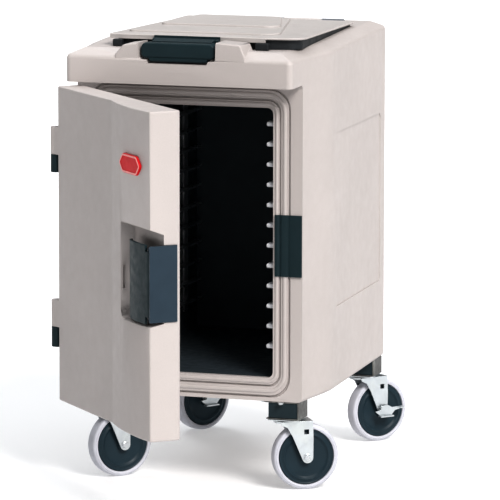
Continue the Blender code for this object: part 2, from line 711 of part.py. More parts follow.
def build_lid_latch(mats, spot):
    y_l, z_l = LID_LATCH
    local = spot.inverted() @ Vector((0.0, y_l, z_l))
    bracket = make_object("lid_latch_bracket", box(
        -0.0660, 0.0640, 0.0058, 0.0092, -0.0060, 0.0085), mats["trim"])
    for x0, x1 in ((-0.0660, -0.0605), (0.0585, 0.0640)):
        join(bracket, box(x0, x1, 0.0, 0.0070, -0.0044, 0.0044))
        join(bracket, rod(0.0044, x0, x1, axis="x", seg=16))
    cut(bracket, drill(0.0023, -0.08, 0.08, axis="x", seg=12))
    base = spot @ at(0.0, local.y, local.z)
    place(bracket, base)

    bar = make_object("lid_latch_bar", slab(
        [(-0.0765, -0.0310, 0.010), (0.0710, -0.0310, 0.010), (0.0710, -0.0010, 0.012),
         (-0.0765, -0.0010, 0.012)], -0.0445, -0.0170, 0.005, 0.003, axes="xzy"), mats["trim"])
    low = [(-0.0600, -0.0375, 0.006), (0.0540, -0.0375, 0.006), (0.0560, -0.0280, 0.0),
           (-0.0620, -0.0280, 0.0)]
    join(bar, slab(low, -0.0430, -0.0180, 0.003, 0.002, axes="xzy", seg=4))
    neck = [(-0.0200, -0.0060), (0.0, -0.0046), (0.0, 0.0046), (-0.0260, 0.0000)]
    join(bar, loft([(neck, -0.0600), (neck, 0.0580)], axes="yzx"))
    join(bar, rod(0.0046, -0.0600, 0.0580, axis="x", seg=20))
    cut(bar, drill(0.0023, -0.08, 0.08, axis="x", seg=12))
    place(bar, base)
    pin = make_object("lid_latch_pin", rod(0.0020, -0.0655, 0.0635, axis="x", seg=20, chamfer=0.0004),
                      mats["steel"])
    place(pin, base)


# ---------------------------------------------------------------- casters
def fork_leg(y0, y1):
    """One side plate of a fork, wide at the crown and narrow at the axle."""
    tip = arc(TRAIL, WHEEL_R, 0.0108, -165, -5, 8)
    outline = tip + [(0.0462, 0.100), (0.0455, 0.1335), (-0.0180, 0.1335), (-0.0150, 0.1270),
                     (-0.0040, 0.1220), (0.0060, 0.1040)]
    return loft([(outline, y0), (outline, y1)], axes="xzy")


def build_caster(mats, tag, x, y, braked):
    turn = Matrix.Rotation(math.radians(CASTER_TURN[tag]), 4, "Z")
    fixed = at(x, y, 0.0)
    spot = fixed @ turn
    wheel = spot @ at(TRAIL, 0.0, WHEEL_R)

    side = 1.0 if x > 0.0 else -1.0
    # riser: bent channel that wraps a dark spacer block under the body
    block = make_object("caster_spacer_" + tag, box(
        -0.0285, 0.0285, -0.0265, 0.0265, 0.1410, 0.1698, 0.001), mats["spacer"])
    place(block, fixed)
    w = 0.0325
    profile = [(-w, 0.1386), (w, 0.1386), (w, 0.1728 - GAP), (-w - 0.0020, 0.1728 - GAP),
               (-w - 0.0020, 0.1702), (w - 0.0032, 0.1702), (w - 0.0032, 0.1406), (-w, 0.1406)]
    profile = [(px * side, pz) for px, pz in profile]
    riser = make_object("caster_riser_" + tag, loft([(profile, -0.0275), (profile, 0.0275)], axes="xzy"),
                        mats["zinc"])
    place(riser, fixed)

    plate = make_object("caster_plate_" + tag, slab(
        rect(-0.0300, 0.0300, -0.0300, 0.0300, 0.006), 0.1363, 0.1383, 0.0, 0.0), mats["zinc"])
    join(plate, turned([(0.0, 0.1344), (0.0218, 0.1344), (0.0235, 0.1352), (0.0225, 0.1365),
                        (0.0, 0.1365)], 28))
    place(plate, fixed)

    fork = make_object("caster_fork_" + tag, slab(
        [(-0.0250, -0.0200, 0.014), (0.0455, -0.0240, 0.003), (0.0455, 0.0240, 0.003),
         (-0.0250, 0.0200, 0.014)], 0.1302, 0.1340), mats["zinc"])
    join(fork, fork_leg(-0.0240, -0.0212))
    join(fork, fork_leg(0.0212, 0.0240))
    cut(fork, box(0.0280, 0.0375, -0.05, 0.05, 0.1085, 0.1180))
    cut(fork, drill(0.0045, -0.05, 0.05, (TRAIL, 0.0, WHEEL_R), axis="y", seg=18))
    place(fork, spot)

    head = [(0.0, -0.0272), (0.0062, -0.0268), (0.0068, -0.0243), (0.0042, -0.0243)]
    head = head + [(r, -h) for r, h in reversed(head)]
    axle = make_object("caster_axle_" + tag, turned(head, 18, axis="y"), mats["steel"])
    place(axle, wheel)

    rim = [(0.0048, -0.0195), (0.0120, -0.0195), (0.0135, -0.0138), (0.0380, -0.0138),
           (0.0400, -0.0152), (0.0420, -0.0138), (0.0533, -0.0130)]
    rim = rim + [(r, -h) for r, h in reversed(rim)]
    hub = make_object("caster_hub_" + tag, turned(rim, 36, axis="y"), mats["hub"])
    place(hub, wheel)

    tread = [(0.0536, -0.0132), (0.0565, -0.0150), (0.0598, -0.0148), (0.0624, -0.0112),
             (WHEEL_R, -0.0050)]
    # a flat of the tread faces the floor, and the flats, not the corners, lie at the radius
    grow = 1.0 / math.cos(math.pi / TYRE_SIDES)
    tread = [(r * grow, h) for r, h in tread + [(r, -h) for r, h in reversed(tread)]]
    tyre = make_object("caster_tyre_" + tag, turned(tread, TYRE_SIDES, axis="y",
                                                    phase=math.pi / TYRE_SIDES), mats["tyre"])
    place(tyre, wheel)

    if braked:
        build_pedal(mats, tag, wheel)


def build_pedal(mats, tag, wheel):
    """Crescent brake lever that rocks on the axle, outside the fork leg."""
    blade = fillet([(-0.0240, 0.0010, 0.001), (-0.0120, -0.0080, 0.006), (0.0020, -0.0120, 0.006),
                    (0.0150, -0.0095, 0.005), (0.0235, 0.0000, 0.003), (0.0430, 0.0040, 0.001),
                    (0.0430, 0.0075, 0.001), (0.0170, 0.0068, 0.003), (0.0080, 0.0115, 0.003),
                    (-0.0080, 0.0115, 0.003), (-0.0100, 0.0020, 0.002)], 3)
    pedal = make_object("brake_pedal_" + tag, loft([(blade, -0.0312), (blade, -0.0284)], axes="xzy"),
                        mats["zinc"])
    join(pedal, box(-0.0150, 0.0160, -0.0400, -0.0290, -0.0106, -0.0082))
    join(pedal, box(0.0330, 0.0430, -0.0385, -0.0290, 0.0042, 0.0066))
    join(pedal, rod(0.0082, -0.0300, -0.0277, axis="y", seg=18))
    place(pedal, wheel)


# ---------------------------------------------------------------- build
def main():
    clear_scene()
    mats = {
        "shell": material("shell_plastic", (0.62, 0.57, 0.55), 0.55),
        "shell_top": material("lid_plastic", (0.64, 0.60, 0.58), 0.55),
        "liner": material("liner_dark_plastic", (0.012, 0.016, 0.016), 0.50),
        "liner_light": material("inner_panel_plastic", (0.50, 0.47, 0.45), 0.55),
        "rack": material("rack_steel", (0.60, 0.61, 0.62), 0.35, 1.0),
        "rubber": material("black_rubber", (0.015, 0.018, 0.020), 0.70),
        "trim": material("slate_nylon", (0.022, 0.040, 0.052), 0.45),
        "trim_plate": material("slate_nylon_plate", (0.045, 0.066, 0.085), 0.42),
        "badge": material("badge_red", (0.55, 0.015, 0.020), 0.35),
        "steel": material("pin_steel", (0.55, 0.56, 0.57), 0.30, 1.0),
        "steel_dark": material("hinge_steel", (0.10, 0.11, 0.12), 0.40, 1.0),
        "zinc": material("zinc_plate", (0.66, 0.68, 0.70), 0.32, 1.0),
        "spacer": material("spacer_nylon", (0.016, 0.026, 0.032), 0.50),
        "hub": material("hub_nylon", (0.022, 0.034, 0.044), 0.50),
        "tyre": material("tyre_grey_rubber", (0.36, 0.36, 0.39), 0.60),
    }
    build_body(mats)
    build_liner(mats)
    build_rack("pan_rack_left", -1.0, mats)
    build_rack("pan_rack_right", 1.0, mats)
    build_strike(mats)
    build_door(mats)
    build_lid(mats)
    build_caster(mats, "fr", CASTER_X, CASTER_FRONT, False)
    build_caster(mats, "fl", -CASTER_X, CASTER_FRONT, False)
    build_caster(mats, "rr", CASTER_X, CASTER_REAR, True)
    build_caster(mats, "rl", -CASTER_X, CASTER_REAR, True)
    finish_shading()


main()
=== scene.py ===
"""Looks of the insulated food carrier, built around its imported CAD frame. Metres, +Z up."""

import json
import math

import bmesh
import bpy
from mathutils import Matrix, Vector


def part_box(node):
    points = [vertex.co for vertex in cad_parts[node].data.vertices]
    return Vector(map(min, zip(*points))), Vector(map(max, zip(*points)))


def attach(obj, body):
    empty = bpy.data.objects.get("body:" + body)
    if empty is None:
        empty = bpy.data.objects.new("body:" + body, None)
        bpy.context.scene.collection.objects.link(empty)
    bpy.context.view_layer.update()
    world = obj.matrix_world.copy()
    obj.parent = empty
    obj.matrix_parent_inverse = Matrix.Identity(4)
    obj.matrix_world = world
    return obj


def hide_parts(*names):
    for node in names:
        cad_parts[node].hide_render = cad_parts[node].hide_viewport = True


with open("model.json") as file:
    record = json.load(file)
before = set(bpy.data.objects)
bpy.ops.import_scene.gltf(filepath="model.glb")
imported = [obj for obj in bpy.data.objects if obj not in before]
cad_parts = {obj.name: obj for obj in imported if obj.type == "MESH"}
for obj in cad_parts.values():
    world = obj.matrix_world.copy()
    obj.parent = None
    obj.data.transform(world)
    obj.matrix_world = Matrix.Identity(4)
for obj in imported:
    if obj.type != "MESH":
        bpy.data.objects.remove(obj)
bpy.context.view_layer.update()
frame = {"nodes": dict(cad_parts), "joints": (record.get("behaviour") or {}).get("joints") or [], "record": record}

NODES = frame["nodes"]
JOINTS = {joint["name"]: joint for joint in frame["joints"]}
SLOT_OF = {part["node"]: part["material_slot"] for part in frame["record"]["subparts"]}
BODY_OF = {node: body for body, members in frame["record"]["behaviour"]["bodies"].items()
           for node in members}
CASTERS = ("fr", "fl", "rr", "rl")


# ---------------------------------------------------------------- materials
class Finish:
    """A Principled material whose pattern is fixed to the piece's own coordinates."""

    def __init__(self, name, roughness=0.5, metallic=0.0, specular=0.5, coat=0.0):
        self.material = bpy.data.materials.new(name)
        self.material.use_nodes = True
        self.tree = self.material.node_tree
        self.shader = self.tree.nodes["Principled BSDF"]
        self.shader.inputs["Roughness"].default_value = roughness
        self.shader.inputs["Metallic"].default_value = metallic
        self.shader.inputs["Specular IOR Level"].default_value = specular
        self.shader.inputs["Coat Weight"].default_value = coat
        self.coords = self.add("ShaderNodeTexCoord").outputs["Object"]
        self.height = None

    def add(self, kind):
        return self.tree.nodes.new(kind)

    def link(self, source, target):
        self.tree.links.new(source, target)

    def stretched(self, scale):
        """Coordinates scaled per axis, for brushed or streaked patterns."""
        mapping = self.add("ShaderNodeMapping")
        mapping.inputs["Scale"].default_value = scale
        self.link(self.coords, mapping.inputs["Vector"])
        return mapping.outputs["Vector"]

    def noise(self, scale, detail=3.0, roughness=0.55, coords=None, distortion=0.0):
        node = self.add("ShaderNodeTexNoise")
        node.inputs["Scale"].default_value = scale
        node.inputs["Detail"].default_value = detail
        node.inputs["Roughness"].default_value = roughness
        node.inputs["Distortion"].default_value = distortion
        self.link(coords or self.coords, node.inputs["Vector"])
        return node.outputs["Fac"]

    def cells(self, scale, randomness=1.0):
        node = self.add("ShaderNodeTexVoronoi")
        node.inputs["Scale"].default_value = scale
        node.inputs["Randomness"].default_value = randomness
        self.link(self.coords, node.inputs["Vector"])
        return node.outputs["Distance"]

    def span(self, value, low, high, to_low=0.0, to_high=1.0):
        """Clamped remap of a value from low..high to to_low..to_high."""
        node = self.add("ShaderNodeMapRange")
        node.inputs["From Min"].default_value = low
        node.inputs["From Max"].default_value = high
        node.inputs["To Min"].default_value = to_low
        node.inputs["To Max"].default_value = to_high
        self.link(value, node.inputs["Value"])
        return node.outputs["Result"]

    def product(self, a, b):
        node = self.add("ShaderNodeMath")
        node.operation = "MULTIPLY"
        self.link(a, node.inputs[0])
        self.link(b, node.inputs[1])
        return node.outputs["Value"]

    def mix(self, factor, a, b):
        """Colour a where factor is 0, b where it is 1; each is a colour or a socket."""
        node = self.add("ShaderNodeMix")
        node.data_type = "RGBA"
        self.link(factor, node.inputs["Factor"])
        for value, socket in ((a, node.inputs[6]), (b, node.inputs[7])):
            if isinstance(value, tuple):
                socket.default_value = (*value, 1.0)
            else:
                self.link(value, socket)
        return node.outputs[2]

    def edges(self, radius, low=0.02, high=0.22):
        """1 along sharp edges and 0 on the flats, from the turn of a rounded normal."""
        bevel = self.add("ShaderNodeBevel")
        bevel.samples = 4
        bevel.inputs["Radius"].default_value = radius
        plain = self.add("ShaderNodeNewGeometry")
        dot = self.add("ShaderNodeVectorMath")
        dot.operation = "DOT_PRODUCT"
        self.link(bevel.outputs["Normal"], dot.inputs[0])
        self.link(plain.outputs["Normal"], dot.inputs[1])
        return self.span(dot.outputs["Value"], 1.0 - low, 1.0 - high)

    def colour(self, socket):
        self.link(socket, self.shader.inputs["Base Color"])

    def gloss(self, socket):
        self.link(socket, self.shader.inputs["Roughness"])

    def bump(self, socket, distance, strength=1.0):
        """Adds relief of this depth in metres to what is already there."""
        node = self.add("ShaderNodeBump")
        node.inputs["Distance"].default_value = distance
        node.inputs["Strength"].default_value = strength
        self.link(socket, node.inputs["Height"])
        if self.height is not None:
            self.link(self.height, node.inputs["Normal"])
        self.height = node.outputs["Normal"]
        self.link(self.height, self.shader.inputs["Normal"])


def shade(colour, k):
    return tuple(min(1.0, c * k) for c in colour)


def moulded(name, colour, grain=1.0, roughness=0.5, wear=0.35):
    """Rotationally moulded plastic: pebble grain, slow waviness, specks, scuffs, pale edges."""
    f = Finish(name, roughness, specular=0.4)
    slow = f.span(f.noise(5.0, 4.0), 0.3, 0.7)
    speck = f.span(f.noise(620.0, 2.0), 0.35, 0.7)
    tone = f.mix(slow, shade(colour, 0.955), shade(colour, 1.03))
    tone = f.mix(f.span(speck, 0.0, 1.0, 0.0, 0.35), tone, shade(colour, 0.86))
    streaks = f.noise(9.0, 5.0, 0.7, f.stretched((14.0, 14.0, 1.2)))
    scuff = f.span(streaks, 0.66, 0.74, 0.0, 0.22)
    tone = f.mix(scuff, tone, shade(colour, 1.14))
    worn = f.product(f.edges(0.0022), f.span(f.noise(60.0, 4.0), 0.38, 0.62, 0.1, wear))
    tone = f.mix(worn, tone, shade(colour, 1.22))
    f.colour(tone)
    f.gloss(f.span(f.noise(45.0, 5.0), 0.3, 0.7, roughness - 0.07, roughness + 0.09))
    f.bump(f.noise(7.0, 2.0), 0.0016 * grain, 0.5)
    f.bump(f.noise(430.0, 3.0, 0.6), 0.00022 * grain, 0.75)
    f.bump(f.cells(900.0), 0.00010 * grain, 0.5)
    return f.material


def nylon(name, colour, roughness=0.42, wear=0.5):
    """Injection-moulded dark plastic with a fine spark texture and rubbed edges."""
    f = Finish(name, roughness, specular=0.14)
    tone = f.mix(f.span(f.noise(18.0, 4.0), 0.3, 0.7), shade(colour, 0.92), shade(colour, 1.10))
    worn = f.product(f.edges(0.0012, 0.06, 0.28), f.span(f.noise(90.0, 4.0), 0.40, 0.64, 0.0, wear))
    tone = f.mix(worn, tone, tuple(0.03 + 1.9 * c for c in colour))
    f.colour(tone)
    f.gloss(f.span(f.noise(70.0, 5.0), 0.3, 0.7, roughness - 0.08, roughness + 0.12))
    f.bump(f.noise(1300.0, 2.0), 0.00008, 0.6)
    scratches = f.noise(30.0, 6.0, 0.75, f.stretched((3.0, 3.0, 60.0)))
    f.bump(f.span(scratches, 0.62, 0.74), 0.00006, 0.5)
    return f.material


def rubber(name, colour, roughness=0.62, dust=0.3):
    f = Finish(name, roughness, specular=0.35)
    tone = f.mix(f.span(f.noise(30.0, 5.0), 0.35, 0.68), shade(colour, 0.90), shade(colour, 1.07))
    pale = tuple(0.6 * c + 0.10 for c in colour)
    tone = f.mix(f.span(f.noise(210.0, 4.0, 0.7), 0.52, 0.78, 0.0, dust), tone, pale)
    f.colour(tone)
    f.gloss(f.span(f.noise(55.0, 4.0), 0.3, 0.7, roughness - 0.06, roughness + 0.10))
    f.bump(f.noise(700.0, 3.0), 0.00010, 0.7)
    return f.material


def zinc(name, colour, roughness=0.30):
    """Bright zinc plate: clouded blue-white passivation, rolling marks and soft dents."""
    f = Finish(name, roughness, metallic=1.0)
    cloud = f.span(f.noise(42.0, 5.0, 0.6, distortion=0.6), 0.34, 0.68)
    tone = f.mix(cloud, shade(colour, 0.86), colour)
    tone = f.mix(f.span(f.noise(17.0, 3.0), 0.5, 0.75, 0.0, 0.45), tone, (0.74, 0.76, 0.70))
    worn = f.product(f.edges(0.0012), f.span(f.noise(120.0, 3.0), 0.4, 0.6, 0.0, 0.6))
    tone = f.mix(worn, tone, (0.86, 0.87, 0.88))
    f.colour(tone)
    f.gloss(f.span(f.noise(85.0, 6.0, 0.7), 0.3, 0.7, roughness - 0.08, roughness + 0.16))
    f.bump(f.noise(26.0, 3.0), 0.00035, 0.5)
    f.bump(f.noise(900.0, 2.0), 0.00004, 0.5)
    return f.material


def steel(name, colour, roughness=0.28, along=(4.0, 220.0, 220.0)):
    """Drawn or brushed steel with fine marks along one axis."""
    f = Finish(name, roughness, metallic=1.0)
    marks = f.noise(12.0, 5.0, 0.7, f.stretched(along))
    tone = f.mix(f.span(marks, 0.3, 0.7), shade(colour, 0.82), shade(colour, 1.08))
    f.colour(tone)
    f.gloss(f.span(f.noise(40.0, 4.0), 0.3, 0.7, roughness - 0.06, roughness + 0.12))
    f.bump(marks, 0.00004, 0.6)
    return f.material


def enamel(name, colour):
    """Glossy badge plastic with a faint orange peel."""
    f = Finish(name, 0.40, specular=0.14)
    f.colour(f.mix(f.span(f.noise(40.0, 3.0), 0.3, 0.7), shade(colour, 0.90), shade(colour, 1.08)))
    f.gloss(f.span(f.noise(120.0, 4.0), 0.3, 0.7, 0.36, 0.50))
    f.bump(f.noise(240.0, 2.0), 0.00008, 0.4)
    return f.material


SHELL = (0.455, 0.418, 0.404)
FINISHES = {
    "shell_plastic": moulded("shell_moulded", SHELL),
    "lid_plastic": moulded("lid_moulded", (0.455, 0.426, 0.412), roughness=0.46),
    # The liner's near-black colour is painted shade for the unlit cavity behind the door, not the plastic's own
    # colour.
    "liner_dark_plastic": nylon("liner_painted_shade", (0.034, 0.044, 0.052), 0.42, 0.2),
    "inner_panel_plastic": moulded("inner_panel_moulded", (0.42, 0.39, 0.375), 0.7, 0.46, 0.2),
    "rack_steel": steel("rack_brushed", (0.70, 0.72, 0.74), 0.30, (160.0, 3.0, 160.0)),
    "black_rubber": rubber("seal_rubber", (0.012, 0.015, 0.018), 0.55, 0.12),
    "slate_nylon": nylon("slate_moulded", (0.014, 0.028, 0.033), 0.40, 0.15),
    "slate_nylon_plate": nylon("slate_plate_moulded", (0.030, 0.048, 0.066), 0.42, 0.3),
    "badge_red": enamel("badge_enamel", (0.60, 0.010, 0.016)),
    "pin_steel": steel("pin_drawn", (0.62, 0.63, 0.65), 0.24),
    "hinge_steel": steel("hinge_dark", (0.16, 0.17, 0.19), 0.38),
    "zinc_plate": zinc("zinc_bright", (0.66, 0.695, 0.715), 0.34),
    "spacer_nylon": nylon("spacer_moulded", (0.018, 0.030, 0.036), 0.46),
    "hub_nylon": nylon("hub_moulded", (0.018, 0.033, 0.043), 0.36, 0.2),
    "tyre_grey_rubber": rubber("tyre_rubber", (0.50, 0.505, 0.55), 0.55, 0.15),
}
BADGE_RIM = enamel("badge_rim_pale", (0.78, 0.36, 0.34))
# Darker copy of the zinc for the caster risers: its low colour is painted shade for brackets in the shade under
# the body, and its higher roughness is their duller finish.
RISER_ZINC_PAINTED_SHADE = zinc("zinc_dull_painted_shade", (0.17, 0.17, 0.165), 0.50)
RAIL_WHITE = nylon("rail_nose_pale", (0.62, 0.63, 0.65), 0.40, 0.0)


# ---------------------------------------------------------------- building helpers
def linked(name, bm, material, smooth=30.0):
    mesh = bpy.data.meshes.new(name)
    bm.normal_update()
    bm.to_mesh(mesh)
    bm.free()
    mesh.materials.append(material)
    mesh.shade_smooth()
    mesh.set_sharp_from_angle(angle=math.radians(smooth))
    obj = bpy.data.objects.new(name, mesh)
    bpy.context.scene.collection.objects.link(obj)
    return obj


def even_normals(obj):
    """Keeps large faces flat where they meet a small rounded edge."""
    mod = obj.modifiers.new("even_normals", "WEIGHTED_NORMAL")
    mod.keep_sharp = True
    mod.weight = 60


def piece(obj, body):
    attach(obj, body)
    return obj


WELD = 0.000004         # points nearer than this are one
SHARP_ANGLE = 38.0      # degrees; an edge that turns more is rounded
LEVEL = 1e-5            # how near an edge lies to the top or bottom to count as on it


def welded(node):
    """The CAD node's mesh with its coinciding points joined."""
    bm = bmesh.new()
    bm.from_mesh(NODES[node].data)
    bmesh.ops.remove_doubles(bm, verts=bm.verts, dist=WELD)
    return bm


def sharp_edges(bm):
    return [e for e in bm.edges if len(e.link_faces) == 2
            and e.calc_face_angle(0.0) > math.radians(SHARP_ANGLE)]


def twin(node, width=0.0, flat=0.4, ends=0.0):
    """Copy of a CAD node that stands for it, with small rounded edges.

    width rounds every sharp edge, ends only those of the top and bottom faces, and
    faces within flat degrees of each other become one.
    """
    bm = welded(node)
    bmesh.ops.dissolve_limit(bm, angle_limit=math.radians(flat), verts=bm.verts, edges=bm.edges)
    if ends:
        low, high = min(v.co.z for v in bm.verts), max(v.co.z for v in bm.verts)
        rims = [e for e in sharp_edges(bm)
                if any(all(abs(v.co.z - level) < LEVEL for v in e.verts) for level in (low, high))]
        bmesh.ops.bevel(bm, geom=rims, offset=ends, segments=3, profile=0.5,
                        affect="EDGES", clamp_overlap=True)
    if width:
        bmesh.ops.bevel(bm, geom=sharp_edges(bm), offset=width, segments=2, profile=0.6,
                        affect="EDGES", clamp_overlap=True)
    for face in bm.faces:
        face.material_index = 0
    obj = linked(node + "_skin", bm, FINISHES[SLOT_OF[node]], 32.0)
    even_normals(obj)
    piece(obj, BODY_OF[node])
    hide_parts(node)
    return obj


def axis_frame(origin, axis, up=(0.0, 0.0, 1.0)):
    """Matrix whose Z runs along axis and whose X points as far up as it can."""
    z = Vector(axis).normalized()
    x = Vector(up) - z * z.dot(Vector(up))
    if x.length < 1e-6:
        x = Vector((1.0, 0.0, 0.0))
    x.normalize()
    y = z.cross(x)
    rows = Matrix((x, y, z)).transposed().to_4x4()
    return Matrix.Translation(Vector(origin)) @ rows


def lathe(bm, profile, count, matrix, closed=False):
    """Turns a profile of (radius, height) points about the Z axis of matrix."""
    rings = []
    for r, h in profile:
        if r < 1e-7:
            rings.append([bm.verts.new(matrix @ Vector((0.0, 0.0, h)))])
        else:
            rings.append([bm.verts.new(matrix @ Vector((r * math.cos(2 * math.pi * i / count),
                                                        r * math.sin(2 * math.pi * i / count), h)))
                          for i in range(count)])
    pairs = list(zip(rings, rings[1:]))
    if closed:
        pairs.append((rings[-1], rings[0]))
    for low, high in pairs:
        for i in range(count):
            j = (i + 1) % count
            if len(low) == 1 and len(high) == 1:
                continue
            if len(low) == 1:
                bm.faces.new((low[0], high[j], high[i]))
            elif len(high) == 1:
                bm.faces.new((low[i], low[j], high[0]))
            else:
                bm.faces.new((low[i], low[j], high[j], high[i]))


def arc(cx, cy, r, a0, a1, n):
    return [(cx + r * math.cos(math.radians(a0 + (a1 - a0) * i / n)),
             cy + r * math.sin(math.radians(a0 + (a1 - a0) * i / n))) for i in range(n + 1)]


def mirrored(profile):
    """A profile from one face of a wheel to its middle, with the other half added."""
    return profile + [(r, -h) for r, h in reversed(profile)]


def outward(bm):
    bmesh.ops.recalc_face_normals(bm, faces=bm.faces)


# ---------------------------------------------------------------- carried-over nodes
EDGE_WIDTH = {
    "shell_plastic": 0.0,
    "lid_plastic": 0.0,
    "liner_dark_plastic": 0.0,
    "inner_panel_plastic": 0.0010,
    "rack_steel": 0.0,
    "black_rubber": 0.0007,
    "slate_nylon": 0.0007,
    "slate_nylon_plate": 0.0006,
    "badge_red": 0.0004,
    "pin_steel": 0.0002,
    "hinge_steel": 0.0004,
    "zinc_plate": 0.0005,
    "spacer_nylon": 0.0006,
}
TURNED = ("caster_hub_", "caster_tyre_")
DOOR_FLAT = 0.05        # degrees; the door's face bulges in very small turns
DOOR_END_ROUND = 0.0030
for node_name in sorted(NODES):
    if node_name == "door_shell":
        twin(node_name, flat=DOOR_FLAT, ends=DOOR_END_ROUND)
    elif not node_name.startswith(TURNED):
        skin = twin(node_name, EDGE_WIDTH[SLOT_OF[node_name]])
        # Risers take the darker zinc copy, whose colour is painted shade.
        if node_name.startswith("caster_riser_"):
            skin.data.materials[0] = RISER_ZINC_PAINTED_SHADE


# ---------------------------------------------------------------- wheels
RADIUS = 0.0635     # of the tread
TYRE_SIDES = 128
HUB_SIDES = 112


def build_wheel(tag):
    joint = JOINTS["wheel_spin_" + tag]
    place = axis_frame(joint["pos_m"], joint["axis"])
    body = "wheel_" + tag

    # tyre: flat moulded side wall, a small step, a rounded shoulder and a flat tread
    half = [(0.0538, 0.0), (0.0538, 0.0122)] + arc(0.0552, 0.0131, 0.0010, 180, 90, 4)
    half += [(0.0572, 0.0141), (0.0576, 0.0143), (0.0584, 0.0142), (0.0590, 0.0134)]
    half += arc(0.0584, 0.0085, 0.0048, 78, 14, 9) + [(RADIUS, 0.0048), (RADIUS, 0.0)]
    bm = bmesh.new()
    section = [(r, -h) for r, h in half] + [(r, h) for r, h in reversed(half)][1:-1]
    lathe(bm, section, TYRE_SIDES, place, True)
    outward(bm)
    tyre = piece(linked("tyre_" + tag, bm, FINISHES["tyre_grey_rubber"], 40), body)
    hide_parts("caster_tyre_" + tag)

    # hub: raised bearing boss, dished web and a rolled outer rim
    half = [(0.0049, 0.0195)] + arc(0.0112, 0.0187, 0.0008, 90, 0, 3) + [(0.0128, 0.0140)]
    half += arc(0.0142, 0.0134, 0.0010, 200, 270, 3) + [(0.0200, 0.0118), (0.0370, 0.0116)]
    half += [(0.0398, 0.0122), (0.0418, 0.0140)] + arc(0.0436, 0.0138, 0.0012, 140, 60, 4)
    half += [(0.0462, 0.0136), (0.0486, 0.0128), (0.0500, 0.0129)]
    half += arc(0.0518, 0.0126, 0.0012, 130, 0, 5) + [(0.0533, 0.0100)]
    bm = bmesh.new()
    lathe(bm, mirrored(half), HUB_SIDES, place, True)
    outward(bm)
    hub = piece(linked("hub_" + tag, bm, FINISHES["hub_nylon"], 34), body)
    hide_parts("caster_hub_" + tag)


def build_axle_nuts(tag):
    """Hexagon nut and washer outside each fork leg."""
    joint = JOINTS["wheel_spin_" + tag]
    bm = bmesh.new()
    for sign in (-1.0, 1.0):
        place = axis_frame(joint["pos_m"], Vector(joint["axis"]) * sign)
        lathe(bm, [(0.0, 0.0241), (0.0081, 0.0241), (0.0083, 0.0244), (0.0081, 0.0249),
                   (0.0, 0.0249)], 40, place)
        lathe(bm, [(0.0, 0.0250), (0.0062, 0.0250), (0.0066, 0.0254), (0.0066, 0.0266),
                   (0.0058, 0.0272), (0.0034, 0.0273), (0.0030, 0.0269), (0.0, 0.0269)], 6, place)
    outward(bm)
    nuts = piece(linked("axle_nuts_" + tag, bm, FINISHES["zinc_plate"], 25), "fork_" + tag)
    even_normals(nuts)


for caster in CASTERS:
    build_wheel(caster)
    build_axle_nuts(caster)


# ---------------------------------------------------------------- fasteners
BOLT_OFFSET = 0.0075    # from a riser's side to the middle of a bolt
LEAF_TOP = 0.8492       # height of the lid hinge leaf's flat


def screw_head(bm, at, axis, radius=0.0042, height=0.0024):
    """Domed head with a round recess."""
    place = axis_frame(at, axis)
    dome = [(radius, 0.0), (radius, height * 0.25), (radius * 0.86, height * 0.62),
            (radius * 0.55, height * 0.90), (radius * 0.30, height)]
    lathe(bm, [(0.0, 0.0)] + dome + [(radius * 0.22, height * 0.55), (0.0, height * 0.55)], 20, place)


def hex_head(bm, at, axis, radius=0.0062, height=0.0040):
    """Hexagon head on a round flange."""
    place = axis_frame(at, axis)
    lathe(bm, [(0.0, 0.0), (radius * 1.35, 0.0), (radius * 1.32, 0.0008), (0.0, 0.0012)], 28, place)
    lathe(bm, [(0.0, 0.0008), (radius, 0.0010), (radius, height * 0.85), (radius * 0.84, height),
               (0.0, height)], 6, place)


def build_riser_bolts(tag):
    """Flanged bolts that hold each riser to the underside of the body."""
    low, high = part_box("caster_riser_" + tag)
    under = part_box("body_shell")[0].z
    inward = -1.0 if tag.endswith("r") else 1.0
    edge = low.x if inward < 0.0 else high.x
    middle = (low.x + high.x) / 2.0
    bm = bmesh.new()
    beside = edge + BOLT_OFFSET * inward
    for x, y in ((beside, low.y + 0.012), (beside, high.y - 0.012),
                 (middle, low.y - BOLT_OFFSET), (middle, high.y + BOLT_OFFSET)):
        hex_head(bm, (x, y, under - 0.0003), (0.0, 0.0, -1.0), 0.0046, 0.0040)
    outward(bm)
    bolts = piece(linked("riser_bolts_" + tag, bm, FINISHES["zinc_plate"], 25), "carrier")
    even_normals(bolts)


def build_lid_screws():
    low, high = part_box("lid_hinge_leaf")
    count = 6
    inset = 0.018
    bm = bmesh.new()
    for k in range(count):
        x = low.x + inset + (high.x - low.x - 2.0 * inset) * k / (count - 1)
        screw_head(bm, (x, high.y - 0.008, LEAF_TOP), (0.0, 0.0, 1.0))
    outward(bm)
    piece(linked("lid_hinge_screws", bm, FINISHES["pin_steel"], 28), "carrier")


for caster in CASTERS:
    build_riser_bolts(caster)
build_lid_screws()


# ---------------------------------------------------------------- opening and badge
OPENING_HALF = 0.166
OPENING_Z = (0.2175, 0.7305)
SEAT_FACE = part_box("body_shell")[0].y + 0.068
RAIL_TOP = 0.7035
RAIL_STEP = 0.0384
RAIL_COUNT = 12
DOOR_SWING = 47.4       # degrees that the door stands open at rest
RIM_LEVEL = 0.0001      # depth within which a point belongs to the badge's flat rim
RIM_RISE = 0.0005


def rounded_outline(half, z0, z1, radius, count=8):
    """Points and outward directions round a rectangle with round corners, in X and Z."""
    out = []
    corners = ((half - radius, z0 + radius, 270), (half - radius, z1 - radius, 0),
               (-half + radius, z1 - radius, 90), (-half + radius, z0 + radius, 180))
    for cx, cz, start in corners:
        for i in range(count + 1):
            a = math.radians(start + 90.0 * i / count)
            out.append((cx + radius * math.cos(a), cz + radius * math.sin(a),
                        math.cos(a), math.sin(a)))
    return out


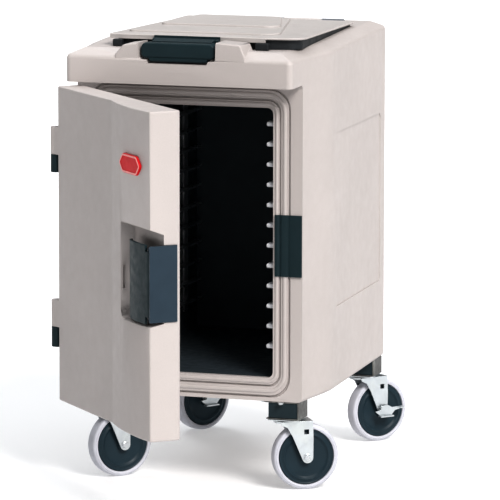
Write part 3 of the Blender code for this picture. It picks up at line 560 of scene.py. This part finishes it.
def build_seat_bead(name, grow, width, height):
    """Raised rounded bead that runs round the opening on the seat face."""
    low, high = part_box("body_shell")
    middle = (low.x + high.x) / 2.0
    rise = grow * 1.12
    outline = rounded_outline(OPENING_HALF + grow, OPENING_Z[0] - rise, OPENING_Z[1] + rise,
                              0.010 + grow)
    section = [(0.0, 0.0012), (0.0, -0.0002)]
    section += [(width / 2 - width / 2 * math.cos(math.radians(a)),
                 -height * math.sin(math.radians(a))) for a in range(15, 180, 15)]
    section += [(width, -0.0002), (width, 0.0012)]
    bm = bmesh.new()
    rings = [[bm.verts.new((middle + x + nx * d, SEAT_FACE + h, z + nz * d)) for d, h in section]
             for x, z, nx, nz in outline]
    for k, ring in enumerate(rings):
        after = rings[(k + 1) % len(rings)]
        for i in range(len(section)):
            j = (i + 1) % len(section)
            bm.faces.new((ring[i], ring[j], after[j], after[i]))
    outward(bm)
    piece(linked(name, bm, FINISHES["shell_plastic"], 50), "carrier")


def build_rail_noses():
    """Rounded front end on every pan slide."""
    low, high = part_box("body_shell")
    middle = (low.x + high.x) / 2.0
    front = SEAT_FACE + 0.0108
    bm = bmesh.new()
    for k in range(RAIL_COUNT):
        top = RAIL_TOP - k * RAIL_STEP
        for sign in (-1.0, 1.0):
            made = bmesh.ops.create_cube(bm, size=1.0)["verts"]
            x0, x1 = OPENING_HALF - 0.0175, OPENING_HALF - 0.0010
            scale = Matrix.Diagonal((x1 - x0, 0.0150, 0.0086, 1.0))
            spot = Vector((middle + sign * (x0 + x1) / 2.0, front + 0.0075, top - 0.0048))
            bmesh.ops.transform(bm, matrix=Matrix.Translation(spot) @ scale, verts=made)
            edges = list({e for v in made for e in v.link_edges})
            bmesh.ops.bevel(bm, geom=edges, offset=0.0034, segments=4, profile=0.5, affect="EDGES")
    outward(bm)
    piece(linked("rail_noses", bm, RAIL_WHITE, 50), "carrier")


def build_badge_rim():
    """Pale raised border on the flat rim of the badge."""
    bm = welded("door_badge")
    swing = math.radians(DOOR_SWING)
    facing = Vector((-math.sin(swing), -math.cos(swing), 0.0))
    crest = max(v.co.dot(facing) for v in bm.verts)
    for v in bm.verts:
        v.select = crest - v.co.dot(facing) < RIM_LEVEL
    others = [f for f in bm.faces if not all(v.select for v in f.verts)]
    bmesh.ops.delete(bm, geom=others, context="FACES")
    made = bmesh.ops.extrude_face_region(bm, geom=list(bm.faces))["geom"]
    raised = [g for g in made if isinstance(g, bmesh.types.BMVert)]
    bmesh.ops.translate(bm, vec=facing * RIM_RISE, verts=raised)
    outward(bm)
    piece(linked("badge_rim", bm, BADGE_RIM, 40), "door")


build_seat_bead("seat_bead_inner", 0.0038, 0.0060, 0.0018)
build_seat_bead("seat_bead_outer", 0.0190, 0.0075, 0.0022)
build_rail_noses()
build_badge_rim()


# ---------------------------------------------------------------- stage, lights and camera
FLOOR_HALF = 60.0
FLOOR_GLOW = 0.36       # keeps the paper white beside the object's soft shadow


def build_floor():
    bm = bmesh.new()
    bmesh.ops.create_grid(bm, x_segments=8, y_segments=8, size=FLOOR_HALF)
    f = Finish("floor_paper", 0.75, specular=0.2)
    f.colour(f.mix(f.span(f.noise(0.9, 2.0), 0.3, 0.7), (0.60, 0.60, 0.605), (0.615, 0.615, 0.62)))
    f.shader.inputs["Emission Color"].default_value = (1.0, 1.0, 1.0, 1.0)
    f.shader.inputs["Emission Strength"].default_value = FLOOR_GLOW
    floor = linked("floor", bm, f.material)


def sun(name, towards, strength, colour, angle):
    """Distant soft light that comes from the direction given."""
    data = bpy.data.lights.new(name, "SUN")
    data.energy = strength
    data.color = colour
    data.angle = math.radians(angle)
    lamp = bpy.data.objects.new(name, data)
    bpy.context.scene.collection.objects.link(lamp)
    lamp.rotation_euler = Vector(towards).to_track_quat("Z", "Y").to_euler()


def build_world():
    """Soft sky, dim towards the object's left and bright overhead and to its right."""
    world = bpy.data.worlds.new("studio")
    bpy.context.scene.world = world
    world.use_nodes = True
    tree = world.node_tree
    background = tree.nodes["Background"]
    coords = tree.nodes.new("ShaderNodeTexCoord")
    split = tree.nodes.new("ShaderNodeSeparateXYZ")
    tree.links.new(coords.outputs["Generated"], split.inputs["Vector"])
    total = tree.nodes.new("ShaderNodeMath")
    total.operation = "ADD"
    ramps = (("X", -0.7, 0.7, 0.02, 0.32), ("Z", 0.62, 0.95, 0.0, 1.9))
    for slot, (axis, start, end, dim, bright) in enumerate(ramps):
        ramp = tree.nodes.new("ShaderNodeMapRange")
        ramp.inputs["From Min"].default_value = start
        ramp.inputs["From Max"].default_value = end
        ramp.inputs["To Min"].default_value = dim
        ramp.inputs["To Max"].default_value = bright
        tree.links.new(split.outputs[axis], ramp.inputs["Value"])
        tree.links.new(ramp.outputs["Result"], total.inputs[slot])
    tree.links.new(total.outputs["Value"], background.inputs["Strength"])
    background.inputs["Color"].default_value = (0.96, 0.98, 1.0, 1.0)


def build_camera():
    data = bpy.data.cameras.new("camera")
    data.lens = 307.87
    data.sensor_width = 36.0
    data.clip_end = 100.0
    camera = bpy.data.objects.new("camera", data)
    bpy.context.scene.collection.objects.link(camera)
    camera.location = (2.5771, -7.6676, 1.6332)
    camera.rotation_euler = (1.42461, -0.00146, 0.31491)
    bpy.context.scene.camera = camera


build_floor()
build_world()
sun("key", (0.575, -0.54, 0.615), 3.75, (1.0, 0.975, 0.95), 22.0)
sun("rear_left", (-0.53, 0.60, 0.60), 0.9, (0.95, 0.975, 1.0), 20.0)
build_camera()
bpy.context.scene.view_settings.view_transform = "Standard"
bpy.context.scene.view_settings.gamma = 0.80
